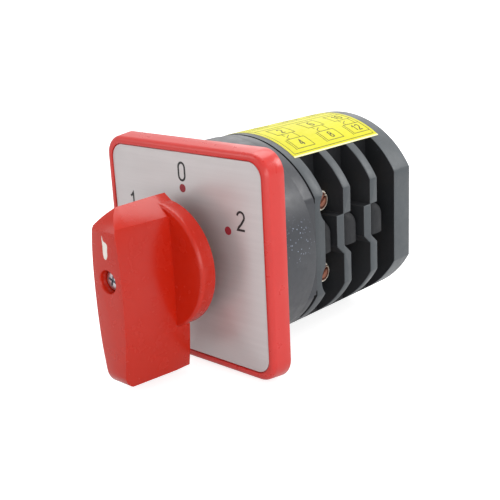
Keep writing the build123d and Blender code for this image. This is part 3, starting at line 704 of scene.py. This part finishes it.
def make_deck(i):
    front, floor_y, rear, mid = DECK_FRONT[i], DECK_FLOOR[i], DECK_REAR[i], TERMINAL_Y[i]
    flange = plain_flange if i == 0 else jogged_flange
    deck = flange(f"deck_{i + 1}_body", front, floor_y)
    posts = [deck_post(side, floor_y) for side in (-1, 1)]
    boolean(deck, [deck_core(front, rear)] + posts, "UNION")
    cuts = [deck_chamber(floor_y, rear), cyl_y(6.0, front - 1, floor_y + 1)]
    cuts += [cyl_y(1.6, front - 4, rear + 3, 24, x, z) for x, z in BODY_HOLES]
    # at each terminal a slot through the core's side wall and a hole along X
    for side in (-1, 1):
        for up in (-1, 1):
            cuts.append(box((side * 12.9, mid - 2.35, up * 7.48), (side * 15.9, rear + 3, up * 8.72)))
            cuts.append(cyl_x(1.8, side * 13.9, side * 24.0, mid, up * TERMINAL_Z, 32))
    boolean(deck, cuts)
    return deck


decks = [make_deck(i) for i in range(3)]


# ------------------------------------------------------------------ end plate


def make_end_plate():
    plate = body_prism("end_plate_shell", [
        (END_FRONT, 0.12), (END_FRONT + 0.12, 0.0), (66.8, 0.0), (67.05, 0.05),
        (67.27, 0.2), (67.38, 0.4), (END_REAR, 0.65)])
    open_y = END_FRONT - 1.0
    cuts = [cyl_y(6.0, open_y, END_BORE), cyl_y(5.0, END_BORE - 0.6, END_BORE + 3.3, 48)]
    cuts += [cyl_y(1.6, open_y, 66.0, 24, x, z) for x, z in BODY_HOLES]
    counterbore = [(64.6, 3.05), (67.2, 3.05), (67.7, 3.5)]
    cuts += [revolve_y(counterbore, x, z, 48) for x, z in BODY_HOLES]
    boolean(plate, cuts)
    return plate


end_plate = make_end_plate()

# ------------------------------------------------------------------ wiring label
LABEL_R, LABEL_THICK = BODY_R, 0.15
LABEL_LIFT = 0.004  # clearance over the body
LABEL_Y0, LABEL_Y1 = 21.7, 62.7
MM_PER_DEGREE = LABEL_R * math.pi / 180
FRAME_INSET = 1.2
FRAME_DEGREES = 33.4
CIRCUIT_Y = (30.3, 44.4, 57.6)

# strokes of one circuit on one side, as (degrees from the top, y from the circuit's middle)
CIRCUIT = (
    ("closed", ((20.9, -3.9), (30.2, -3.9), (30.2, 3.8), (20.9, 3.8))),
    ("closed", ((5.4, -3.9), (14.4, -3.9), (14.4, 3.8), (5.4, 3.8))),
    ("open", ((20.9, 2.4), (14.4, 2.4))),
    ("open", ((20.9, -2.4), (18.7, -2.4), (16.6, -0.4))),
    ("open", ((14.4, -2.4), (16.9, -2.4))),
    ("open", ((21.4, -4.8), (31.0, -4.8))),
)


def make_label(n=72):
    half = math.radians(35.7)
    margin = 0.08
    ys = [LABEL_Y0, LABEL_Y0 + margin, LABEL_Y1 - margin, LABEL_Y1]
    verts, faces = [], []
    for height in (0.0, LABEL_THICK):
        r = LABEL_R + height + LABEL_LIFT
        for y in ys:
            for k in range(n + 1):
                a = -half + 2 * half * k / n
                verts.append((r * math.sin(a), y, r * math.cos(a)))
    row = n + 1
    top = len(ys) * row  # index of the first vertex of the outer skin
    last = (len(ys) - 1) * row
    for j in range(len(ys) - 1):
        for k in range(n):
            a = j * row + k
            faces.append((a, a + 1, a + row + 1, a + row))
            faces.append((top + a + row, top + a + row + 1, top + a + 1, top + a))
    edges = []
    for offset in (0, n):
        edges += [(j * row + offset, (j + 1) * row + offset) for j in range(len(ys) - 1)]
    for offset in (0, last):
        edges += [(offset + k, offset + k + 1) for k in range(n)]
    faces += [(a, b, top + b, top + a) for a, b in edges]
    return make(verts, faces, "wiring_label_film")


def on_label(u, v, height):
    """u is the arc length from the top towards +X, v the position along the spindle."""
    r = LABEL_R + LABEL_THICK + LABEL_LIFT + height
    a = u / (LABEL_R + LABEL_THICK)
    return (r * math.sin(a), v, r * math.cos(a))


def label_print(name, strokes, width, high):
    return ribbons(name, strokes, width, on_label, low=-0.02, high=high, step=0.4)


def frame_strokes():
    """A tall frame on each side of the top, closed by two lines across."""
    y0, y1 = LABEL_Y0 + FRAME_INSET, LABEL_Y1 - FRAME_INSET
    strokes = []
    for side in (-1, 1):
        for degrees in (FRAME_DEGREES, 2.4):
            u = side * degrees * MM_PER_DEGREE
            strokes.append(("open", [(u, y0), (u, y1)]))
    half = FRAME_DEGREES * MM_PER_DEGREE
    return strokes + [("open", [(-half, y), (half, y)]) for y in (y0, y1)]


def circuit_strokes():
    """Two boxes for the terminal numbers and the contact drawn between them."""
    return [(kind, [(side * degrees * MM_PER_DEGREE, mid + dy) for degrees, dy in pts])
            for mid in CIRCUIT_Y for side in (-1, 1) for kind, pts in CIRCUIT]


def number_strokes():
    """Terminal numbers 1 to 12, read from the side of the body."""
    strokes = []
    for i, mid in enumerate(CIRCUIT_Y):
        for side in (-1, 1):
            odd = 4 * i + (2 if side > 0 else 1)
            for degrees, number in ((25.5, odd + 2), (9.9, odd)):
                for kind, pts in digits(str(number), 0.0, 0.0, 2.8, aspect=1.05):
                    strokes.append((kind, [
                        (side * degrees * MM_PER_DEGREE - side * z, mid + side * x)
                        for x, z in pts]))
    return strokes


label = make_label()
label_frame = label_print("label_frame", frame_strokes(), width=0.22, high=0.02)
label_lines = label_print("label_lines", circuit_strokes(), width=0.23, high=0.026)
label_digits = label_print("label_digits", number_strokes(), width=0.38, high=0.03)


# ------------------------------------------------------------------ node helpers


class Graph:
    """Adds nodes to a node tree. An input takes either a socket or a value."""

    def __init__(self, tree):
        self.tree = tree

    def feed(self, socket, value):
        if isinstance(value, bpy.types.NodeSocket):
            self.tree.links.new(value, socket)
        else:
            socket.default_value = value

    def node(self, kind, inputs=None, **props):
        n = self.tree.nodes.new(kind)
        for key, value in props.items():
            setattr(n, key, value)
        for key, value in (inputs or {}).items():
            self.feed(n.inputs[key], value)
        return n

    def maths(self, operation, *values):
        return self.node("ShaderNodeMath", dict(enumerate(values)), operation=operation).outputs[0]

    def spread(self, value, span=(0.0, 1.0), to=(0.0, 1.0)):
        """Maps the span to another range, clamped."""
        return self.node("ShaderNodeMapRange", {
            "Value": value, "From Min": span[0], "From Max": span[1],
            "To Min": to[0], "To Max": to[1]}, clamp=True).outputs["Result"]


class Mat(Graph):
    """A procedural material on object coordinates in metres."""

    def __init__(self, name):
        self.material = bpy.data.materials.new(name)
        self.material.use_nodes = True
        super().__init__(self.material.node_tree)
        self.tree.nodes.clear()
        out = self.node("ShaderNodeOutputMaterial")
        self.surface = self.node("ShaderNodeBsdfPrincipled")
        self.feed(out.inputs["Surface"], self.surface.outputs[0])
        self.coord = self.node("ShaderNodeTexCoord").outputs["Object"]
        self.last_bump = None

    def set(self, **values):
        for key, value in values.items():
            self.feed(self.surface.inputs[key.replace("_", " ")], value)

    def stretched(self, x, y, z):
        return self.node("ShaderNodeMapping", {"Vector": self.coord, "Scale": (x, y, z)}).outputs[0]

    def noise(self, scale, detail=3.0, rough=0.55, vector=None):
        return self.node("ShaderNodeTexNoise", {
            "Vector": self.coord if vector is None else vector, "Scale": scale,
            "Detail": detail, "Roughness": rough, "Distortion": 0.0}).outputs["Fac"]

    def cells(self, scale):
        """Distance to the nearest cell centre."""
        inputs = {"Vector": self.coord, "Scale": scale}
        return self.node("ShaderNodeTexVoronoi", inputs).outputs["Distance"]

    def mix(self, factor, under, over):
        n = self.node("ShaderNodeMix", {"Factor": factor}, data_type="RGBA")
        for socket, colour in ((n.inputs[6], under), (n.inputs[7], over)):
            self.feed(socket, (*colour, 1.0) if isinstance(colour, tuple) else colour)
        return n.outputs[2]

    def tint(self, value, under, over, span, amount=1.0):
        """Brings in the second colour as the value crosses the span."""
        return self.mix(self.spread(value, span, (0.0, amount)), under, over)

    def bump(self, height, strength, distance):
        """Adds relief on top of any earlier bump; distance in metres."""
        n = self.node("ShaderNodeBump",
                      {"Strength": strength, "Distance": distance, "Height": height})
        if self.last_bump is not None:
            self.feed(n.inputs["Normal"], self.last_bump)
        self.last_bump = n.outputs[0]
        self.feed(self.surface.inputs["Normal"], self.last_bump)


def lin(r, g, b):
    """sRGB 0-255 to linear."""
    return tuple((c / 255 / 12.92) if c / 255 <= 0.04045 else ((c / 255 + 0.055) / 1.055) ** 2.4
                 for c in (r, g, b))


# ------------------------------------------------------------------ material recipes


def red_plastic(name, base, deep, rough, specular, coat):
    m = Mat(name)
    cloud = m.noise(scale=24.0, detail=2.0)
    grain = m.noise(scale=900.0, detail=2.0)
    colour = m.tint(cloud, base, deep, span=(0.35, 0.68))
    lighter = tuple(min(1.0, c * 1.2 + 0.01) for c in base)
    colour = m.tint(grain, colour, lighter, span=(0.45, 0.75), amount=0.06)
    m.set(Base_Color=colour, Specular_IOR_Level=specular, Coat_Weight=coat, Coat_Roughness=0.14)
    m.set(Roughness=m.spread(m.noise(scale=260.0), span=(0.3, 0.7),
                             to=(rough - 0.04, rough + 0.05)))
    m.bump(m.noise(scale=380.0, detail=2.0, rough=0.5), strength=0.02, distance=0.00004)
    m.bump(m.noise(scale=40.0, detail=1.0), strength=0.10, distance=0.00010)
    return m.material


def dust_patch(m, colour, centre):
    """A loose patch of brighter specks round one point (m)."""
    away = m.node("ShaderNodeVectorMath", {0: m.coord, 1: centre}, operation="DISTANCE")
    near = m.spread(away.outputs["Value"], span=(0.0075, 0.0010))
    bright = m.spread(m.cells(scale=1350.0), span=(0.27, 0.14))
    chance = m.spread(m.noise(scale=520.0, detail=0.0), span=(0.44, 0.54))
    specks = m.maths("MULTIPLY", bright, chance)
    strength = m.maths("MULTIPLY", near, 0.8)
    return m.mix(m.maths("MULTIPLY", specks, strength), colour, lin(196, 208, 232))


def phenolic(name, base, light, rough, specular=0.5, flecks=0.55, dusty=None):
    m = Mat(name)
    cloud = m.noise(scale=55.0, detail=4.0, rough=0.6)
    colour = m.tint(cloud, base, light, span=(0.3, 0.7))
    fine = m.noise(scale=1400.0, detail=2.0)
    lighter = tuple(c * 1.8 + 0.006 for c in light)
    colour = m.tint(fine, colour, lighter, span=(0.5, 0.8), amount=0.18)
    dot = m.spread(m.cells(scale=620.0), span=(0.10, 0.03))
    where = m.spread(m.noise(scale=90.0, detail=1.0), span=(0.60, 0.72))
    fleck = m.maths("MULTIPLY", dot, m.maths("MULTIPLY", where, flecks))
    colour = m.mix(fleck, colour, lin(150, 165, 195))
    if dusty:
        colour = dust_patch(m, colour, dusty)
    m.set(Base_Color=colour, Specular_IOR_Level=specular)
    m.set(Roughness=m.spread(m.noise(scale=320.0, detail=4.0), span=(0.3, 0.7),
                             to=(rough - 0.07, rough + 0.08)))
    flow = m.noise(scale=45.0, detail=2.0, rough=0.5, vector=m.stretched(x=1.0, y=0.25, z=1.0))
    m.bump(m.noise(scale=700.0, detail=4.0, rough=0.65), strength=0.22, distance=0.00006)
    m.bump(flow, strength=0.30, distance=0.00012)
    return m.material


def silver_sheet(name):
    """Sheet brushed along X."""
    m = Mat(name)
    brush = m.noise(scale=900.0, rough=0.6, vector=m.stretched(x=0.03, y=1.0, z=1.0))
    cloud = m.noise(scale=28.0)
    colour = m.tint(cloud, lin(199, 194, 194), lin(192, 186, 186), span=(0.3, 0.7))
    colour = m.tint(brush, colour, lin(222, 218, 217), span=(0.35, 0.7), amount=0.16)
    m.set(Base_Color=colour, Metallic=0.45)
    m.set(Roughness=m.spread(brush, span=(0.3, 0.75), to=(0.36, 0.44)))
    m.bump(brush, strength=0.05, distance=0.00003)
    m.bump(m.noise(scale=1500.0, detail=2.0), strength=0.05, distance=0.00003)
    return m.material


def metal(name, base, second, rough, metallic=1.0, stretch=(1.0, 1.0, 1.0)):
    m = Mat(name)
    grain = m.noise(scale=500.0, detail=4.0, rough=0.6, vector=m.stretched(*stretch))
    cloud = m.noise(scale=60.0)
    colour = m.tint(cloud, base, second, span=(0.35, 0.7))
    darker = tuple(c * 0.6 for c in second)
    colour = m.tint(grain, colour, darker, span=(0.45, 0.8), amount=0.35)
    m.set(Base_Color=colour, Metallic=metallic)
    m.set(Roughness=m.spread(grain, span=(0.3, 0.7), to=(rough - 0.06, rough + 0.12)))
    m.bump(grain, strength=0.15, distance=0.00005)
    return m.material


def terminal_metal(name, y, rim_r=3.0, side_x=18.6):
    """Copper alloy with painted shade in its grooves and low on its side wall, and a painted highlight
    along its rims.

    y is the terminal's place along the spindle, side_x the foot of its side wall (mm).
    """
    m = Mat(name)
    axes = m.node("ShaderNodeSeparateXYZ", {0: m.coord})
    dy = m.maths("SUBTRACT", axes.outputs["Y"], y * MM)
    dz = m.maths("SUBTRACT", m.maths("ABSOLUTE", axes.outputs["Z"]), TERMINAL_Z * MM)
    squares = m.maths("MULTIPLY", dy, dy), m.maths("MULTIPLY", dz, dz)
    r = m.maths("SQRT", m.maths("ADD", *squares))
    out = m.maths("ABSOLUTE", axes.outputs["X"])

    def inside_rim(start, end):
        """Rises between two distances (mm) in from the rim."""
        return m.spread(r, span=((rim_r - start) * MM, (rim_r - end) * MM))

    worn = m.noise(scale=700.0, rough=0.6)
    colour = m.tint(worn, lin(190, 130, 108), lin(158, 104, 86), span=(0.3, 0.7))
    # painted shade in a ring inside the rim, painted highlight on the rim, painted shade low on the
    # side wall
    # painted shade: darker colour in a ring inside the rim, where the groove is
    ring = m.maths("MULTIPLY", inside_rim(start=1.45, end=1.1), inside_rim(start=0.50, end=0.75))
    colour = m.mix(m.maths("MULTIPLY", ring, 0.85), colour, lin(70, 38, 32))
    # painted highlight: near-white colour along the rim
    colour = m.mix(inside_rim(start=0.62, end=0.40), colour, lin(255, 250, 234))
    # painted shade: darker colour low on the side wall, towards its foot
    low = m.spread(out, span=((side_x + 0.9) * MM, side_x * MM))
    colour = m.mix(m.maths("MULTIPLY", low, 0.85), colour, lin(60, 36, 28))
    m.set(Base_Color=colour, Metallic=0.25)
    m.set(Roughness=m.spread(worn, span=(0.3, 0.75), to=(0.20, 0.34)))
    m.bump(worn, strength=0.12, distance=0.00005)
    return m.material


def film(name, base, second, rough=0.42, specular=0.5):
    m = Mat(name)
    cloud = m.noise(scale=60.0)
    colour = m.tint(cloud, base, second, span=(0.3, 0.7))
    fibre = m.noise(scale=1100.0, rough=0.6, vector=m.stretched(x=1.0, y=0.4, z=1.0))
    darker = tuple(c * 0.82 for c in second)
    colour = m.tint(fibre, colour, darker, span=(0.5, 0.8), amount=0.16)
    m.set(Base_Color=colour, Specular_IOR_Level=specular)
    m.set(Roughness=m.spread(fibre, span=(0.3, 0.7), to=(rough - 0.06, rough + 0.08)))
    m.bump(m.noise(scale=110.0, detail=2.0), strength=0.30, distance=0.00008)
    m.bump(fibre, strength=0.10, distance=0.00003)
    return m.material


def ink(name, base, worn, rough=0.5):
    m = Mat(name)
    grain = m.noise(scale=800.0, rough=0.6)
    m.set(Base_Color=m.tint(grain, base, worn, span=(0.5, 0.8), amount=0.55))
    m.set(Roughness=m.spread(grain, span=(0.3, 0.7), to=(rough - 0.08, rough + 0.10)))
    return m.material


# ------------------------------------------------------------------ materials
handle_mat = red_plastic("red_handle", lin(192, 34, 9), lin(186, 30, 8),
                         rough=0.25, specular=0.34, coat=0.08)
bezel_mat = red_plastic("red_bezel", lin(207, 51, 45), lin(201, 45, 40),
                        rough=0.30, specular=0.45, coat=0.12)
housing_mat = phenolic("phenolic_housing", lin(39, 41, 47), lin(47, 50, 56),
                       rough=0.38, flecks=0.8, dusty=(0.0299, 0.0080, 0.0055))
edge_mat = phenolic("phenolic_satin", lin(57, 62, 66), lin(65, 71, 75), rough=0.42)
# painted shade: a darker copy of the phenolic, put on deck faces off the outer wall and on the end
# plate's front faces
painted_shade_phenolic_mat = phenolic("phenolic_painted_shade", lin(22, 23, 26), lin(28, 30, 33),
                    rough=0.60, specular=0.3, flecks=0.2)
legend_mat = silver_sheet("legend_silver")
label_mat = film("label_yellow", lin(212, 208, 10), lin(206, 200, 6), specular=0.24)
label_edge = film("label_edge", lin(250, 246, 190), lin(240, 235, 170), rough=0.6)
black_ink = ink("ink_black", lin(22, 19, 21), lin(58, 54, 54))
label_ink = ink("ink_label", lin(52, 46, 12), lin(84, 76, 20), rough=0.6)
label_fine = ink("ink_label_lines", lin(80, 72, 8), lin(112, 102, 16), rough=0.6)
red_ink = ink("ink_red", lin(142, 30, 42), lin(160, 60, 64))
white_paint = ink("paint_white", lin(236, 230, 222), lin(205, 196, 186), rough=0.45)
zinc = metal("zinc_steel", lin(205, 205, 208), lin(182, 184, 190), rough=0.28)
steel = metal("drawn_steel", lin(170, 170, 174), lin(150, 152, 158), rough=0.34,
              stretch=(1.0, 0.08, 1.0))
brass = metal("turned_brass", lin(205, 170, 98), lin(188, 150, 80), rough=0.30)
copper = metal("copper_alloy", lin(226, 158, 116), lin(206, 138, 96), rough=0.28, metallic=0.7)
terminal = metal("terminal_brass", lin(255, 214, 158), lin(240, 178, 124),
                 rough=0.24, metallic=0.45)
nylon = film("natural_nylon", lin(226, 220, 198), lin(214, 206, 180), rough=0.45)

# ------------------------------------------------------------------ looks of the CAD pieces
BY_SLOT = {
    "red_plastic": handle_mat, "white_inlay": white_paint, "screw_steel": zinc,
    "legend_metal": legend_mat, "black_phenolic": edge_mat, "bush_brass": brass,
    "spindle_steel": steel, "cam_plastic": nylon, "slider_plastic": nylon,
    "spring_steel": steel, "contact_brass": copper, "terminal_brass": terminal,
    "label_yellow": label_mat,
}


def set_slots(node, material):
    for slot in node.material_slots:
        slot.link = "OBJECT"
        slot.material = material


for entry in frame["record"]["subparts"]:
    node = frame["nodes"][entry["node"]]
    material = BY_SLOT.get(entry["material_slot"], edge_mat)
    if node.data.materials:
        set_slots(node, material)
    else:
        node.data.materials.append(material)
for i, y in enumerate(TERMINAL_Y):
    set_slots(frame["nodes"][f"terminal_screws_{i + 1}"],
              terminal_metal(f"terminal_screw_metal_{i + 1}", y))


# ------------------------------------------------------------------ looks and parts of the new pieces


def off_outer_wall(centre, normal):
    """True for deck faces that are not on the outer wall."""
    outer = math.hypot(centre.x, centre.z) > 29.3 or abs(centre.x) > 26.0
    return not (outer and abs(normal.y) < 0.75)


# end-plate faces turned to the front take the painted-shade phenolic
def faces_front(centre, normal):
    return normal.y < -0.8


def on_label_edge(centre, normal):
    return abs(normal.y) > 0.7 or abs(math.degrees(math.atan2(centre.x, centre.z))) > 34.9


# deck faces off the outer wall take the painted-shade phenolic
deck_look = (edge_mat, painted_shade_phenolic_mat, off_outer_wall)

# object, look, body it rides, slot, CAD node it replaces; prints replace none and stay unsmoothed
for obj, look, body, slot_name, node_name in (
    (grip, (handle_mat,), "rotor", "red_plastic", "handle"),
    (mark, (white_paint,), "rotor", "white_inlay", "handle_mark"),
    (head, (zinc,), "rotor", "screw_steel", "handle_screw"),
    (bezel, (bezel_mat,), "stator", "red_plastic", "bezel"),
    (legend, (legend_mat,), "stator", "legend_metal", "legend_plate"),
    (dial_print, (black_ink,), "stator", "legend_metal", None),
    (dots, (red_ink,), "stator", "legend_metal", None),
    (housing, (housing_mat,), "stator", "black_phenolic", "front_housing"),
    (decks[0], deck_look, "stator", "black_phenolic", "deck_1"),
    (decks[1], deck_look, "stator", "black_phenolic", "deck_2"),
    (decks[2], deck_look, "stator", "black_phenolic", "deck_3"),
    (end_plate, (edge_mat, painted_shade_phenolic_mat, faces_front), "stator", "black_phenolic", "end_plate"),
    (label, (label_mat, label_edge, on_label_edge), "stator", "label_yellow", "wiring_label"),
    (label_frame, (label_fine,), "stator", "label_yellow", None),
    (label_lines, (label_fine,), "stator", "label_yellow", None),
    (label_digits, (label_ink,), "stator", "label_yellow", None),
):
    paint(obj, *look)
    if node_name:
        shade(obj)
    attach(obj, body)
    if node_name:
        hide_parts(node_name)


# ------------------------------------------------------------------ floor, world, lights, camera


def make_floor(half=4000, z=-32.4):
    """White floor that glows to the camera and, less, in reflections."""
    floor = make([(-half, -half, z), (half, -half, z), (half, half, z), (-half, half, z)],
                 [(0, 1, 2, 3)], "studio_floor")
    m = Mat("studio_white")
    cloud = m.noise(scale=3.0, detail=2.0)
    m.set(Base_Color=m.tint(cloud, (0.60, 0.60, 0.60), (0.58, 0.58, 0.585), span=(0.3, 0.7)),
          Roughness=0.8, Specular_IOR_Level=0.1)
    seen = m.node("ShaderNodeLightPath").outputs
    to_camera = m.maths("MULTIPLY", seen["Is Camera Ray"], 0.80)
    to_gloss = m.maths("MULTIPLY", seen["Is Glossy Ray"], 0.40)
    m.set(Emission_Color=(1.0, 1.0, 1.0, 1.0),
          Emission_Strength=m.maths("MAXIMUM", to_camera, to_gloss))
    paint(floor, m.material)


def make_world():
    """White to the camera, dimmer in reflections and dimmest as a light."""
    world = bpy.data.worlds.new("studio")
    bpy.context.scene.world = world
    world.use_nodes = True
    graph = Graph(world.node_tree)
    background = world.node_tree.nodes["Background"]
    background.inputs["Color"].default_value = (1.0, 1.0, 1.0, 1.0)
    seen = graph.node("ShaderNodeLightPath").outputs
    gloss = graph.maths("MULTIPLY", seen["Is Glossy Ray"], 0.60)
    share = graph.maths("MAXIMUM", seen["Is Camera Ray"], gloss)
    graph.feed(background.inputs["Strength"], graph.spread(share, to=(0.50, 1.05)))


# name, place (m), point aimed at (m), width and height (m), power (W)
LIGHTS = (
    ("key_top", (-0.12, 0.22, 0.58), (0.0, 0.02, 0.0), (0.55, 0.55), 3.0),
    ("key_left", (-0.45, -0.60, 0.35), (0.0, 0.0, 0.0), (0.40, 0.40), 1.0),
    ("fill_right", (0.70, -0.20, 0.14), (0.0, 0.0, 0.0), (0.50, 0.40), 2.2),
    ("fill_low", (0.40, -0.60, 0.035), (0.01, 0.0, -0.015), (0.60, 0.10), 1.0),
    ("strip_right", (0.31, 0.47, 0.32), (0.02, 0.02, 0.01), (0.22, 0.22), 1.15),
    ("rim_back", (-0.35, 0.75, 0.30), (0.0, 0.03, 0.02), (0.60, 0.35), 0.7),
)


def make_light(name, place, target, size, power):
    data = bpy.data.lights.new(name, "AREA")
    data.shape = "RECTANGLE"
    data.size, data.size_y = size
    data.energy = power
    light = bpy.data.objects.new(name, data)
    bpy.context.scene.collection.objects.link(light)
    light.location = place
    aim = Vector(target) - Vector(place)
    light.rotation_euler = aim.to_track_quat("-Z", "Y").to_euler()


def make_camera():
    """Looks from the front and +X side, a little from above."""
    data = bpy.data.cameras.new("camera")
    camera = bpy.data.objects.new("camera", data)
    bpy.context.scene.collection.objects.link(camera)
    data.sensor_width = 36.0
    data.sensor_fit = "HORIZONTAL"
    data.lens = 66.09888
    data.clip_start = 0.01
    camera.matrix_world = Matrix((
        (0.73756133, -0.16571521, 0.65463101, 0.18312991),
        (0.67359312, 0.24902891, -0.6958857, -0.17470756),
        (-0.0477032, 0.95421333, 0.29529872, 0.07716849),
        (0.0, 0.0, 0.0, 1.0),
    ))
    bpy.context.scene.camera = camera


make_floor()
make_world()
for row in LIGHTS:
    make_light(*row)
make_camera()
bpy.context.scene.view_settings.view_transform = "Standard"
bpy.context.view_layer.update()
